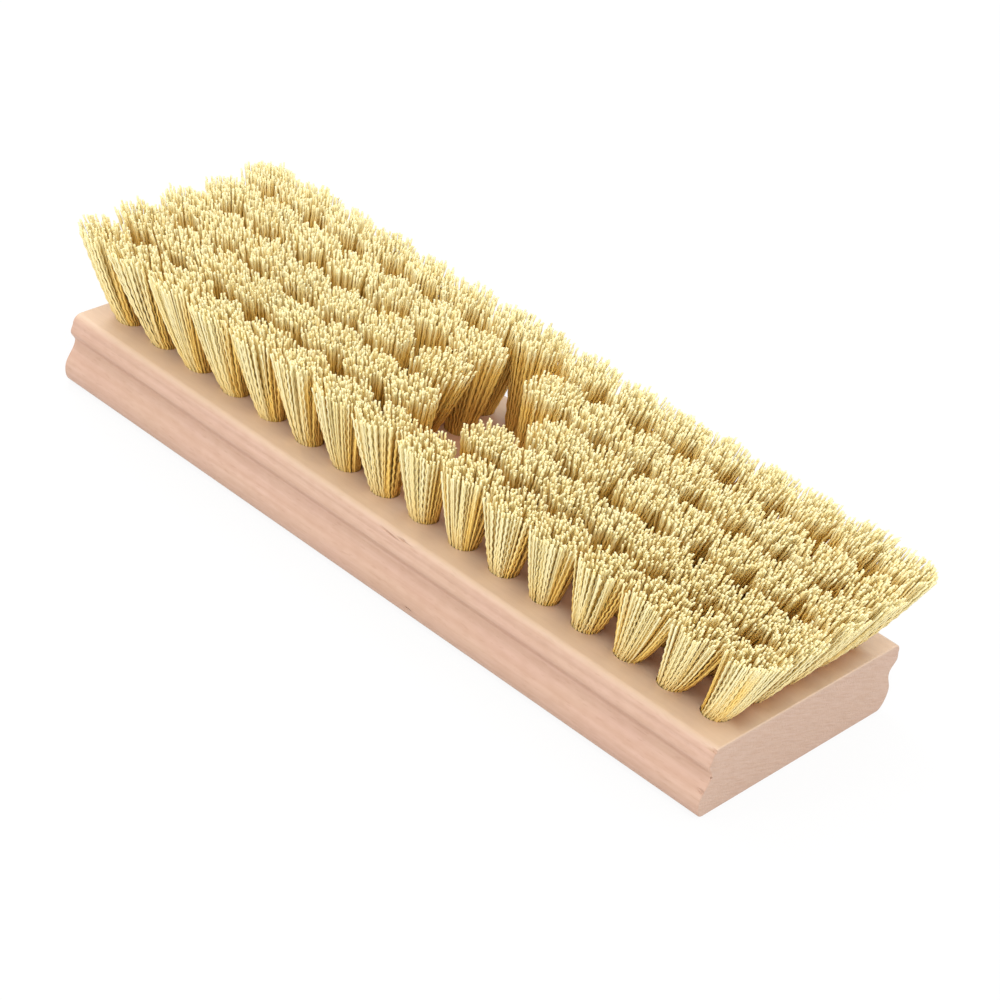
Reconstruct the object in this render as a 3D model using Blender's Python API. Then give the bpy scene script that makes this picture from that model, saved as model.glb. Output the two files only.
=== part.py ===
"""Deck brush lying on its back with its bristles up: a moulded hardwood block with a tilted handle
socket in its back, and five rows of fibre tufts stapled into holes drilled in its face.
Metres, +Z up, X along the block. The origin is under the block's middle, on its flat back."""

import math

import bmesh
import bpy
from mathutils import Matrix, Vector

# Hardwood block: its widths, and the depths below the bristle face where its sides reach them
BLOCK_LENGTH = 0.254
BLOCK_HEIGHT = 0.0235
FACE_WIDTH = 0.085          # where the rounded edge of the bristle face ends
EDGE_ROUND = 0.0028
BEAD_WIDTH = 0.0860         # the fullest line of the bead along the face
BEAD_DEPTH = 0.0055
NECK_WIDTH = 0.0815         # the bottom of the finger groove
NECK_DEPTH = 0.0096
BODY_WIDTH = 0.0869         # the fullest line of the body
BACK_WIDTH = 0.0797         # the flat back
BACK_ROUND_HEIGHT = 0.0061  # from the back up to the body's fullest line
CURVE_STEPS = 5

# Handle socket: enters the back and leans towards -Y as it rises, so the handle slopes to +Y
SOCKET_RADIUS = 0.0095
SOCKET_TILT = math.radians(30)
SOCKET_OFFSET = 0.0055      # from the block's middle line to the middle of its mouth
WOOD_OVER_SOCKET = 0.003
SOCKET_SIDES = 32

# Tuft grid
ROW_COUNT = 5
TUFTS_A_HALF = 8            # tufts from the middle of a full row to one end
END_MARGIN = 0.01075        # from the block's end to the middle of the last tuft
SIDE_MARGIN = 0.0137        # from the face's edge to the middle of the outer rows
TUFTS_A_SLICE = 4

# Tufts that the socket leaves out of each row's two halves, and the wood between the socket's side
# and the middle of the nearest tuft. None keeps the full row's even pitch.
LEFT_OUT = ((0, 0), (0, 0), (1, 1), (1, 0), (0, 0))
SOCKET_TO_TUFT = ((None, None), (0.0045, 0.0045), (0.01375, 0.01375), (0.0095, -0.001), (None, None))

# Tufts: roots folded over a staple in a drilled hole, strands spreading above the face
TUFT_RADIUS = 0.0041
TUFT_SIDES = 6
WOOD_UNDER_TUFTS = 0.0095
STAPLE_LENGTH = 0.0056
STAPLE_WIDTH = 0.0008
STAPLE_LEG = 0.003
STAPLE_GRIP = 0.0006        # how far the staple reaches up into the fold
TRIM = 0.030                # the strands' height above the face
STRANDS_A_TUFT = 6
STRAND_SIDES = 3
STRAND_FOOT_RADIUS = 0.0014
STRAND_TIP_RADIUS = 0.0026
FOOT_RING = 0.003           # the circle that a tuft's strands leave the face on
TIP_RING = 0.0064
STRAND_EMBED = 0.0015
END_SPLAY = 0.0106          # how far the last tufts lean out along the block
NEAR_TILT = 0.0018          # how far the near row leans to +X as well, and the far row
FAR_TILT = 0.0002
SIDE_SPLAY = 0.0078         # how far the outer rows lean out across it

# Tufts that lean further, by row and place from the left end: the one beside the socket that leans into
# the bare wood, and the far left corner's
EXTRA_LEAN = {(2, 6): (0.0065, 0.0), (4, 0): (-0.0020, 0.0)}

# Backing: the slice of the block's face that each group of tufts is fused to
SLICE_THICKNESS = 0.003
WOOD_BETWEEN_SLICES = 0.003
SLICE_OVERHANG = 0.0055     # from the middle of a group's outer tuft to the end of its slice
CLEARANCE = 0.0003          # between touching pieces
CUT_PAST = 0.002            # how far a cutter runs past the face that it opens

# Finish
WOOD_COLOUR = (0.78, 0.55, 0.40, 1.0)
WOOD_ROUGHNESS = 0.6
FIBRE_COLOUR = (0.84, 0.66, 0.30, 1.0)
FIBRE_ROUGHNESS = 0.5


def clear_scene():
    for obj in list(bpy.data.objects):
        bpy.data.objects.remove(obj)


def new_collection(name):
    made = bpy.data.collections.new(name)
    bpy.context.scene.collection.children.link(made)
    return made


def finish(obj, colour, roughness):
    """Gives the object a plain material of its own."""
    material = bpy.data.materials.new(obj.name + "_finish")
    material.use_nodes = True
    shader = material.node_tree.nodes["Principled BSDF"]
    shader.inputs["Base Color"].default_value = colour
    shader.inputs["Roughness"].default_value = roughness
    shader.inputs["Metallic"].default_value = 0.0
    obj.data.materials.append(material)


def new_object(name, shape, home):
    """Turns a bmesh into an object of the collection called home."""
    mesh = bpy.data.meshes.new(name)
    bmesh.ops.recalc_face_normals(shape, faces=shape.faces)
    shape.to_mesh(mesh)
    shape.free()
    obj = bpy.data.objects.new(name, mesh)
    home.objects.link(obj)
    return obj


def hide(obj):
    """Makes the object a helper, left out of the model."""
    obj.hide_render = True
    obj.display_type = "WIRE"
    return obj


def add_boolean(obj, operation, other):
    modifier = obj.modifiers.new(other.name, "BOOLEAN")
    modifier.operation = operation
    modifier.solver = "EXACT"
    if isinstance(other, bpy.types.Collection):
        modifier.operand_type = "COLLECTION"
        modifier.collection = other
    else:
        modifier.object = other


def side_outline():
    """One long side as (half width, height) points, from the bristle face down to the back. Quarter
    rounds start and end it, and half waves of a cosine join the bead, the neck and the body."""
    points = []
    for step in range(CURVE_STEPS + 1):
        turn = math.pi / 2 * step / CURVE_STEPS
        points.append((FACE_WIDTH / 2 - EDGE_ROUND * (1 - math.sin(turn)),
                       BLOCK_HEIGHT - EDGE_ROUND * (1 - math.cos(turn))))
    body_depth = BLOCK_HEIGHT - BACK_ROUND_HEIGHT
    widths = (FACE_WIDTH, BEAD_WIDTH, NECK_WIDTH, BODY_WIDTH)
    depths = (EDGE_ROUND, BEAD_DEPTH, NECK_DEPTH, body_depth)
    for stretch in range(3):
        for step in range(1, CURVE_STEPS + 1):
            share = step / CURVE_STEPS
            wave = (1 - math.cos(math.pi * share)) / 2
            width = widths[stretch] + (widths[stretch + 1] - widths[stretch]) * wave
            depth = depths[stretch] + (depths[stretch + 1] - depths[stretch]) * share
            points.append((width / 2, BLOCK_HEIGHT - depth))
    back_round = (BODY_WIDTH - BACK_WIDTH) / 2
    for step in range(1, CURVE_STEPS + 1):
        turn = math.pi / 2 * step / CURVE_STEPS
        points.append((BACK_WIDTH / 2 + back_round * math.cos(turn), BACK_ROUND_HEIGHT * (1 - math.sin(turn))))
    return points


def moulded_block(home):
    """The block's outline as a flat curve, given its length by the curve's extrusion and then made a
    mesh, so that it can be cut. The curve's own x, y and z become the block's Y, Z and X."""
    right_side = side_outline()
    left_side = [(-half, height) for half, height in reversed(right_side)]
    outline = bpy.data.curves.new("block_outline", "CURVE")
    outline.dimensions = "2D"
    outline.fill_mode = "BOTH"
    outline.extrude = BLOCK_LENGTH / 2
    spline = outline.splines.new("POLY")
    spline.points.add(len(right_side) + len(left_side) - 1)
    for point, (across, up) in zip(spline.points, right_side + left_side):
        point.co = (across, up, 0, 1)
    spline.use_cyclic_u = True
    guide = bpy.data.objects.new("block_outline", outline)
    home.objects.link(guide)
    bpy.context.view_layer.update()
    evaluated = guide.evaluated_get(bpy.context.evaluated_depsgraph_get())
    shape = bmesh.new()
    shape.from_mesh(bpy.data.meshes.new_from_object(evaluated))
    bmesh.ops.remove_doubles(shape, verts=shape.verts, dist=1e-6)
    bpy.data.objects.remove(guide)
    block = new_object("block", shape, home)
    block.rotation_euler = (math.pi / 2, 0, math.pi / 2)
    return block


def tuft_places():
    """Each row's tufts, left half then right half, as lists of (x, y, lean x, lean y)."""
    last_x = BLOCK_LENGTH / 2 - END_MARGIN
    last_y = FACE_WIDTH / 2 - SIDE_MARGIN
    even_first = last_x / (2 * TUFTS_A_HALF - 1)
    rows = []
    for row in range(ROW_COUNT):
        y = last_y * (2 * row / (ROW_COUNT - 1) - 1)
        tilt = NEAR_TILT + (FAR_TILT - NEAR_TILT) * row / (ROW_COUNT - 1)
        halves = []
        for half, side in enumerate((-1, 1)):
            count = TUFTS_A_HALF - LEFT_OUT[row][half]
            margin = SOCKET_TO_TUFT[row][half]
            first_x = even_first if margin is None else SOCKET_RADIUS + margin
            half_row = []
            for place in range(count):
                x = side * (first_x + (last_x - first_x) * place / (count - 1))
                from_left = count - 1 - place if side < 0 else 2 * TUFTS_A_HALF - count + place
                extra = EXTRA_LEAN.get((row, from_left), (0, 0))
                lean_x = END_SPLAY * x / last_x + tilt + extra[0]
                half_row.append((x, y, lean_x, SIDE_SPLAY * y / last_y + extra[1]))
            halves.append(sorted(half_row))
        rows.append(halves)
    return rows


def groups_of(half_row, side):
    """Splits half a row into groups, with the full groups at the block's end."""
    ordered = half_row if side < 0 else half_row[::-1]
    groups = [ordered[at:at + TUFTS_A_SLICE] for at in range(0, len(ordered), TUFTS_A_SLICE)]
    return [sorted(group) for group in groups]


def slice_ends(group, half_row):
    """Where a group's slice starts and ends along X: half way to a neighbour, or past its outer tuft."""
    places = [tuft[0] for tuft in half_row]
    first, last = places.index(group[0][0]), places.index(group[-1][0])
    start = places[first] - SLICE_OVERHANG
    end = places[last] + SLICE_OVERHANG
    if first > 0:
        start = (places[first - 1] + places[first]) / 2 + CLEARANCE / 2
    if last < len(places) - 1:
        end = (places[last] + places[last + 1]) / 2 - CLEARANCE / 2
    return start, end


def box(low, high):
    """A box between two corners, as a bmesh."""
    shape = bmesh.new()
    size = Vector(high) - Vector(low)
    middle = (Vector(high) + Vector(low)) / 2
    bmesh.ops.create_cube(shape, size=1, matrix=Matrix.Translation(middle) @ Matrix.Diagonal((*size, 1)))
    return shape


def add_cylinder(shape, x, y, low, high, radius, sides=TUFT_SIDES):
    middle = Matrix.Translation((x, y, (low + high) / 2))
    bmesh.ops.create_cone(shape, cap_ends=True, segments=sides, radius1=radius, radius2=radius,
                          depth=high - low, matrix=middle)


def add_strands(shape, tuft):
    """A tuft's strands: tapered prisms sheared from the foot ring to the tip ring, each with one edge
    towards the tuft's middle, so that neighbours keep an even gap."""
    x, y, lean_x, lean_y = tuft
    length = TRIM + STRAND_EMBED
    foot_radius = STRAND_FOOT_RADIUS
    for strand in range(STRANDS_A_TUFT):
        turn = 2 * math.pi * strand / STRANDS_A_TUFT
        out = Vector((math.cos(turn), math.sin(turn)))
        foot = Vector((x, y)) + FOOT_RING * out
        tip = Vector((x + lean_x, y + lean_y)) + TIP_RING * out
        slope = (tip - foot) / TRIM
        middle = foot + slope * (length / 2 - STRAND_EMBED)
        height = BLOCK_HEIGHT - STRAND_EMBED + length / 2
        shear = Matrix(((1, 0, slope.x, middle.x), (0, 1, slope.y, middle.y), (0, 0, 1, height), (0, 0, 0, 1)))
        bmesh.ops.create_cone(shape, cap_ends=True, segments=STRAND_SIDES, radius1=foot_radius,
                              radius2=STRAND_TIP_RADIUS, depth=length,
                              matrix=shear @ Matrix.Rotation(turn + math.pi / 2, 4, "Z"))


def tuft_group(name, group, ends, parts, helpers):
    """A slice of the face with its tufts: the slice, the strands above it, and below it the folded
    roots with a staple's crown and legs under each."""
    slice_width = row_pitch() - WOOD_BETWEEN_SLICES
    y = group[0][1]
    low = (ends[0], y - slice_width / 2, BLOCK_HEIGHT - SLICE_THICKNESS)
    high = (ends[1], y + slice_width / 2, BLOCK_HEIGHT)
    backing = new_object(name, box(low, high), parts)
    root_end = WOOD_UNDER_TUFTS + CLEARANCE + STAPLE_LEG
    strands, roots, staples = bmesh.new(), bmesh.new(), bmesh.new()
    for tuft in group:
        add_strands(strands, tuft)
        add_cylinder(roots, tuft[0], y, root_end, BLOCK_HEIGHT - SLICE_THICKNESS / 2, TUFT_RADIUS)
        centre = Vector((tuft[0], y, root_end + (STAPLE_GRIP - STAPLE_LEG) / 2))
        size = (STAPLE_LENGTH, STAPLE_WIDTH, STAPLE_LEG + STAPLE_GRIP, 1)
        bmesh.ops.create_cube(staples, size=1, matrix=Matrix.Translation(centre) @ Matrix.Diagonal(size))
    for kind, shape in (("strands", strands), ("roots", roots), ("staples", staples)):
        add_boolean(backing, "UNION", hide(new_object(f"{name}_{kind}", shape, helpers)))
    finish(backing, FIBRE_COLOUR, FIBRE_ROUGHNESS)
    return backing


def row_pitch():
    return 2 * (FACE_WIDTH / 2 - SIDE_MARGIN) / (ROW_COUNT - 1)


def seat_cutters(name, group, ends, cutters):
    """What a tuft group's slice and roots take out of the block: the same shapes, grown by the clearance."""
    half_width = (row_pitch() - WOOD_BETWEEN_SLICES) / 2 + CLEARANCE
    y = group[0][1]
    floor = BLOCK_HEIGHT - SLICE_THICKNESS - CLEARANCE
    pocket = box((ends[0] - CLEARANCE, y - half_width, floor),
                 (ends[1] + CLEARANCE, y + half_width, BLOCK_HEIGHT + CUT_PAST))
    hide(new_object(name + "_pocket", pocket, cutters))
    holes = bmesh.new()
    for tuft in group:
        add_cylinder(holes, tuft[0], y, WOOD_UNDER_TUFTS, floor + SLICE_THICKNESS / 2, TUFT_RADIUS + CLEARANCE)
    hide(new_object(name + "_holes", holes, cutters))


def socket_cutter(cutters):
    """The tilted bore for the handle, from below the back up to the wood left over it."""
    top_middle = BLOCK_HEIGHT - WOOD_OVER_SOCKET - SOCKET_RADIUS * math.sin(SOCKET_TILT)
    depth = top_middle / math.cos(SOCKET_TILT)
    past = SOCKET_RADIUS * math.tan(SOCKET_TILT) + CUT_PAST
    shape = bmesh.new()
    bmesh.ops.create_cone(shape, cap_ends=True, segments=SOCKET_SIDES, radius1=SOCKET_RADIUS,
                          radius2=SOCKET_RADIUS, depth=depth + past,
                          matrix=Matrix.Translation((0, 0, (depth - past) / 2)))
    bore = hide(new_object("handle_socket_bore", shape, cutters))
    bore.location = (0, SOCKET_OFFSET, 0)
    bore.rotation_euler = (SOCKET_TILT, 0, 0)
    return bore


def main():
    clear_scene()
    parts = new_collection("deck_brush")
    cutters = new_collection("block_cutters")
    helpers = new_collection("tuft_helpers")
    origin = bpy.data.objects.new("deck_brush_origin", None)
    parts.objects.link(origin)

    block = moulded_block(parts)
    finish(block, WOOD_COLOUR, WOOD_ROUGHNESS)
    block.parent = origin
    socket_cutter(cutters)

    for row, halves in enumerate(tuft_places(), start=1):
        groups = [(group, half) for side, half in zip((-1, 1), halves) for group in groups_of(half, side)]
        for number, (group, half) in enumerate(sorted(groups, key=lambda pair: pair[0][0]), start=1):
            name = f"tuft_row_{row}_group_{number}"
            ends = slice_ends(group, half)
            tuft_group(name, group, ends, parts, helpers).parent = origin
            seat_cutters(name, group, ends, cutters)
    add_boolean(block, "DIFFERENCE", cutters)


main()
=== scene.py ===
"""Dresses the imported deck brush: a moulded maple block with a threaded handle socket, 77 tufts of crimped
fibre folded over wire staples, and the table, lamps and camera that show it."""

import math

import bmesh
import bpy
import numpy as np
from mathutils import Euler, Matrix, Vector


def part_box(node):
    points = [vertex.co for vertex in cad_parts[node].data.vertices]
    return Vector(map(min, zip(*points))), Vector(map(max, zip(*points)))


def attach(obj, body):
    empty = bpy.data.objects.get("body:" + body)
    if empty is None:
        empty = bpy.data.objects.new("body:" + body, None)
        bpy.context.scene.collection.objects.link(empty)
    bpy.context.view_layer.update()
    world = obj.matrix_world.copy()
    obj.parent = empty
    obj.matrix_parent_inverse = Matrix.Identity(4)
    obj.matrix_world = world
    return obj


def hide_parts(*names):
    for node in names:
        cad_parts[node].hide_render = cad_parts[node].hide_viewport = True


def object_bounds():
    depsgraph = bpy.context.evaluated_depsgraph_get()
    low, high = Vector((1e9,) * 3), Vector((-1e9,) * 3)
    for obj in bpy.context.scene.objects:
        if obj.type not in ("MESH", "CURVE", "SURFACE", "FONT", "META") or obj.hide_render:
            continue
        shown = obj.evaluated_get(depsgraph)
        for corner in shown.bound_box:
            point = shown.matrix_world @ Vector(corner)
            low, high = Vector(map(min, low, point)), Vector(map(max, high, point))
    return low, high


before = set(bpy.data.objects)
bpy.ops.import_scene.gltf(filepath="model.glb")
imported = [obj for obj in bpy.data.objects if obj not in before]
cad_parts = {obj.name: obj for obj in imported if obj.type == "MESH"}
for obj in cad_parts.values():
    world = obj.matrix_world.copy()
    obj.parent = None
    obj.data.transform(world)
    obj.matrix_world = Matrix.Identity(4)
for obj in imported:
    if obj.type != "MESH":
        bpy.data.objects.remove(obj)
CAD_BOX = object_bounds()

bl_info = {
    "name": "Deck brush",
    "version": (1, 0, 0),
    "blender": (4, 5, 0),
    "location": "View3D > Sidebar > Deck brush",
    "description": "Builds the looks of a wooden deck brush around its packed solids",
    "category": "Object",
}

BODY = "root"
MM = 0.001

# The block, whose length, width and height are the solid's own. Its moulding is set out by full widths and by
# depths under the face
BLOCK_LOW, BLOCK_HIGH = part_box("block")
BLOCK_LENGTH = BLOCK_HIGH.x - BLOCK_LOW.x
BODY_WIDTH = BLOCK_HIGH.y - BLOCK_LOW.y
BLOCK_HEIGHT = BLOCK_HIGH.z - BLOCK_LOW.z
FACE_WIDTH = 0.085
EDGE_ROUND = 0.0028
BEAD_WIDTH = 0.0860
BEAD_DEPTH = 0.0055
NECK_WIDTH = 0.0815
NECK_DEPTH = 0.0096
BACK_WIDTH = 0.0797
BACK_ROUND_HEIGHT = 0.0061
CURVE_STEPS = 12
SAWN_EDGE_STEPS = 4

# The eased mouth of a drilled hole: how much wider it gets, from so far below the face to as far above it
EASE_WIDTH = 0.15 * MM
EASE_DEPTH = 0.3 * MM

# The tilted handle socket in the back. The crests and troughs of its thread are cut off flat, and the thread
# fades in over a short way that starts a little outside the mouth
SOCKET_RADIUS = 0.0095
SOCKET_TILT = math.radians(30)
SOCKET_OFFSET = 0.0055
WOOD_OVER_SOCKET = 0.003
THREAD_PITCH = 0.00508
THREAD_DEPTH = 0.0012
THREAD_FLATS = 1.6
THREAD_FADE = 2 * MM
THREAD_START = 0.5 * MM
SOCKET_RINGS = 90
SOCKET_SIDES = 48

# The tuft grid, as drilled. Beside the socket tufts are left out or moved aside: how many a row's left and
# right half lack, and how far beyond the socket's radius the first tuft's middle stands in each. A row with
# None is spread evenly
ROW_COUNT = 5
TUFTS_A_HALF = 8
END_MARGIN = 0.01075
SIDE_MARGIN = 0.0137
LAST_X = BLOCK_LENGTH / 2 - END_MARGIN
LAST_Y = FACE_WIDTH / 2 - SIDE_MARGIN
TUFTS_A_GROUP = 4
LEFT_OUT = ((0, 0), (0, 0), (1, 1), (1, 0), (0, 0))
SOCKET_TO_TUFT = ((None, None), (0.0045, 0.0045), (0.01375, 0.01375), (0.0095, -0.001), (None, None))
HOLE_RADIUS = 0.0044
HOLE_FLOOR = 0.0095
HOLE_SIDES = 28

# How far the tips lean: out to the block's ends, a little to the right in the near row and less so in the far
# one, out to the block's sides, and more at single tufts, by their row and place from the left
END_SPLAY = 0.0106
NEAR_TILT = 0.0018
FAR_TILT = 0.0002
SIDE_SPLAY = 0.0078
EXTRA_LEAN = {(2, 6): (0.0065, 0.0), (4, 0): (-0.0020, 0.0), (4, 7): (-0.0030, 0.0)}

# Half sizes of the field of feet, which reach 4 mm round each hole's middle, and the radius of the field of
# tips at its corners
FEET_REACH = np.array((LAST_X, LAST_Y)) + 4 * MM
FIELD_CORNER = 13 * MM

# How a tuft's strands vary: the feet's scatter, the waves of the mouth, how much longer the mouth is along
# the row, and how much more so in the far row, the scatter of its radius and of the lean, the size of the
# clumps, the share of loose tips and how many times as far they stray
FOOT_SCATTER = 0.06 * MM
MOUTH_WAVE = 0.05
LONG_MOUTH = 0.09
LONG_MOUTH_FAR = 0.05
MOUTH_SCATTER = 0.04
LEAN_SCATTER = 0.4 * MM
CLUMP_SIZE = 4 * MM
LOOSE_SHARE = 0.08
LOOSE_TIMES = 3.0

# How the tips' height varies: the common drop below the trim, the scatter from tuft to tuft, the size and
# height of the swells in a tuft's top, the share of longer strands and how many mm longer they are
TIP_DROP = 0.8 * MM
TUFT_SCATTER = 0.3 * MM
SWELL_SIZE = 5 * MM
SWELL_HEIGHT = 0.4 * MM
LONG_SHARE = 0.07
LONG_BY = (0.4, 1.4)

# How strands bend: the power of their fanning out, the least and greatest share of the crimp's height, the
# room left for it at the outline, and the scatter in radians of the planes they are crimped in
FAN_POWER = 0.85
CRIMP_SWING = (0.75, 1.15)
CRIMP_ROOM = 1.2
PLANE_SCATTER = 0.7

# How the painted shade's depth grows: its step down from the tips, how far inside the field it counts in
# full, the least share at the field's outline, and the share and the reach of the first step inside a tuft
SHADE_STEP = 7 * MM
SHADE_INSIDE = 5 * MM
SHADE_LEAST = 0.12
TUFT_SHADE_SHARE = 0.35
TUFT_SHADE_INSIDE = 2 * MM

# The folded roots: how far they lie over the hole's floor and under the strands' ends, their outline as
# shares of their height and radius, their flutes, their tone, and their depth of painted shade
ROOT_LIFT = 1.2 * MM
ROOT_SHORTER = 0.6 * MM
ROOT_HEIGHTS = (0.0, 0.12, 0.3, 0.9, 1.0)
ROOT_RADII = (0.55, 0.85, 1.0, 1.0, 0.8)
ROOT_SIDES = 24
ROOT_FLUTES = 8
FLUTE_DEPTH = 0.035
ROOT_TONE = 0.7
ROOT_SHADE = 3.0

# Steps and corners of the small round forms, how far in radians from its points a chip's sine is cut off, and
# how many waves a smooth field sums
WIRE_SIDES = 6
WIRE_BEND_STEPS = 3
CHIP_RINGS = 9
CHIP_SIDES = 10
CHIP_POINT = 0.05
FIELD_WAVES = 6

# Losses in the wood: place in mm, length, depth and width in mm, turns about X, Y and Z in degrees
CHIPS = (
    ((5.4, -42.2, 22.3), (9.6, 0.9, 0.45), (-28, 6, 0)),  # a drying check in the near lip
    ((12.2, -41.8, 22.5), (1.8, 0.7, 0.6), (-35, 0, 0)),  # a nick beside it
    ((126.5, -41.6, 22.7), (3.0, 1.2, 1.0), (-30, 20, 0)),  # two chips and a pore at the right end
    ((126.2, -42.5, 9.2), (3.4, 1.0, 0.9), (10, 15, 0)),
    ((127.0, -40.4, 13.4), (1.6, 0.8, 0.7), (0, 0, 0)),
    ((19.3, -43.1, 4.0), (1.2, 0.5, 0.5), (20, 0, 0)),  # a nick low on the side
)

# The wood's figure as soft noise: its size along and across the block in mm, its place, detail and roughness
FIGURE = {
    "wander": (111.1, 16.67, (0, 0, 0), 2.0, 0.5),
    "drift": (71.43, 22.22, (0, 0, 0), 2.0, 0.5),
    "blush": (25, 9.091, (0.7, 0.2, 0.5), 2.0, 0.5),
    "grain": (35, 0.7, (0, 0, 0), 3.0, 0.6),
    "mottle": (5, 2, (0, 0, 0), 2.0, 0.5),
    "fleck": (3, 0.5, (0, 0, 0), 0.0, 0.5),
}

# The growth rings: their width, how far they waver, how far in metres the block's origin lies from their
# pith, and how little of the way along the block counts for them
RING_WIDTH = 1.6 * MM
RING_WAVER = 0.004
PITH = (0, 0.03, 0.055)
PITH_SCALE = (0.02, 1, 1)

# How far under the face its paler painted highlight starts and is full. Between the tufts the face gets a
# brown painted shade: the middle of that part lies a little to the right, and it starts and is full so far
# inside the field of feet
FACE_STARTS = BLOCK_HEIGHT - 1.4 * MM
FACE_FULL = BLOCK_HEIGHT - 0.2 * MM
PAINTED_SHADE_SHIFT = 6 * MM
PAINTED_SHADE_SHARE = 0.6
PAINTED_SHADE_ALONG = (0, 6 * MM)
PAINTED_SHADE_ACROSS = (2 * MM, 7 * MM)

# A saw's scores lie some 0.3 mm apart, too fine to show here, so they are drawn 0.6 mm apart
SCORE_SLANT = math.radians(-20)
SCORE_LENGTH = 7 * MM
SCORE_PITCH = 0.6 * MM
PORE_SIZE = 0.7 * MM

# How much of a face's normal points along X on the sawn ends, and up or down on a level face, at the least
END_NORMAL = 0.999
LEVEL_NORMAL = 0.9999

# The table: half its width in metres, the hair it lies under the block's flat back, so that the two faces
# don't coincide, and how far the camera sees it lifted to white
TABLE_HALF = 4
TABLE_DROP = 1e-4
TABLE_LIFT = 0.9

# The lamps: their names, where they stand and how wide they are, in metres
LAMPS = (
    ("left lamp", (-0.9, 0.25, 1.04), 0.5),
    ("front lamp", (-0.39, -1.1, 0.76), 0.22),
    ("fill lamp", (0.67, -0.93, 0.8), 0.9),
    ("high lamp", (0.466, -0.35, 1.273), 0.2),
)


def linear(hex_colour):
    """Turns an sRGB hex colour such as "E6C3AA" into linear red, green, blue and an alpha of 1."""
    channels = [int(hex_colour[at:at + 2], 16) / 255 for at in (0, 2, 4)]
    return tuple(c / 12.92 if c <= 0.04045 else ((c + 0.055) / 1.055) ** 2.4 for c in channels) + (1.0,)


def add_node(tree, kind, values=None, **settings):
    """Adds a shader node. values fills its inputs, each a number, a colour or another node's output."""
    made = tree.nodes.new(kind)
    for name, value in settings.items():
        setattr(made, name, value)
    for key, value in (values or {}).items():
        if isinstance(value, bpy.types.NodeSocket):
            tree.links.new(value, made.inputs[key])
        else:
            made.inputs[key].default_value = value
    return made


def new_material(name):
    """A material with its Principled shader and nothing else linked."""
    material = bpy.data.materials.new(name)
    material.use_nodes = True
    return material, material.node_tree, material.node_tree.nodes["Principled BSDF"]


def tuft_table():
    """Each tuft as row, half, place in its half, x, y, lean along the block and lean across it. A half row
    is spread evenly from the tuft beside the socket to the one at the block's end."""
    even_first = LAST_X / (2 * TUFTS_A_HALF - 1)
    table = []
    for row in range(ROW_COUNT):
        y = LAST_Y * (2 * row / (ROW_COUNT - 1) - 1)
        tilt = NEAR_TILT + (FAR_TILT - NEAR_TILT) * row / (ROW_COUNT - 1)
        for half, side in enumerate((-1, 1)):
            count = TUFTS_A_HALF - LEFT_OUT[row][half]
            margin = SOCKET_TO_TUFT[row][half]
            first_x = even_first if margin is None else SOCKET_RADIUS + margin
            for place in range(count):
                x = side * (first_x + (LAST_X - first_x) * place / (count - 1))
                from_left = count - 1 - place if side < 0 else 2 * TUFTS_A_HALF - count + place
                extra = EXTRA_LEAN.get((row, from_left), (0, 0))
                lean = (END_SPLAY * x / LAST_X + tilt + extra[0], SIDE_SPLAY * y / LAST_Y + extra[1])
                table.append((row, half, count - 1 - place, x, y, *lean))
    return table


def tuft_groups():
    """The tufts of each solid: four from each end of a row, and those left over beside the socket."""
    groups = {}
    for tuft in tuft_table():
        row, half, from_end = tuft[:3]
        inner = from_end // TUFTS_A_GROUP
        number = 1 + inner if half == 0 else 4 - inner
        groups.setdefault(f"tuft_row_{row + 1}_group_{number}", []).append(tuft[3:])
    return groups


def mesh_object(name, corners, faces, smooth=True):
    """Puts an array of corners and one or more arrays of faces into a new mesh object."""
    mesh = bpy.data.meshes.new(name)
    sizes = np.concatenate([np.full(len(part), part.shape[1]) for part in faces])
    loops = np.concatenate([part.ravel() for part in faces])
    mesh.vertices.add(len(corners))
    mesh.vertices.foreach_set("co", corners.astype(np.float32).ravel())
    mesh.loops.add(len(loops))
    mesh.loops.foreach_set("vertex_index", loops.astype(np.int32))
    mesh.polygons.add(len(sizes))
    mesh.polygons.foreach_set("loop_start", (np.cumsum(sizes) - sizes).astype(np.int32))
    mesh.polygons.foreach_set("use_smooth", np.full(len(sizes), smooth))
    mesh.update(calc_edges=True)
    mesh.validate()
    obj = bpy.data.objects.new(name, mesh)
    bpy.context.scene.collection.objects.link(obj)
    return obj


def add_number(obj, name, values):
    """Stores one number a corner under a name that the materials read."""
    attribute = obj.data.attributes.new(name, "FLOAT", "POINT")
    attribute.data.foreach_set("value", values.astype(np.float32).ravel())


def grid_faces(rings, sides):
    """Quads between rings of corners, each ring closed, wound so that they face out of a surface whose
    rings run counter-clockwise seen from the last one."""
    ring, side = np.meshgrid(np.arange(rings - 1), np.arange(sides), indexing="ij")
    after = (side + 1) % sides
    low, high = ring * sides, (ring + 1) * sides
    return np.stack([low + side, low + after, high + after, high + side], -1).reshape(-1, 4)


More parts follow.
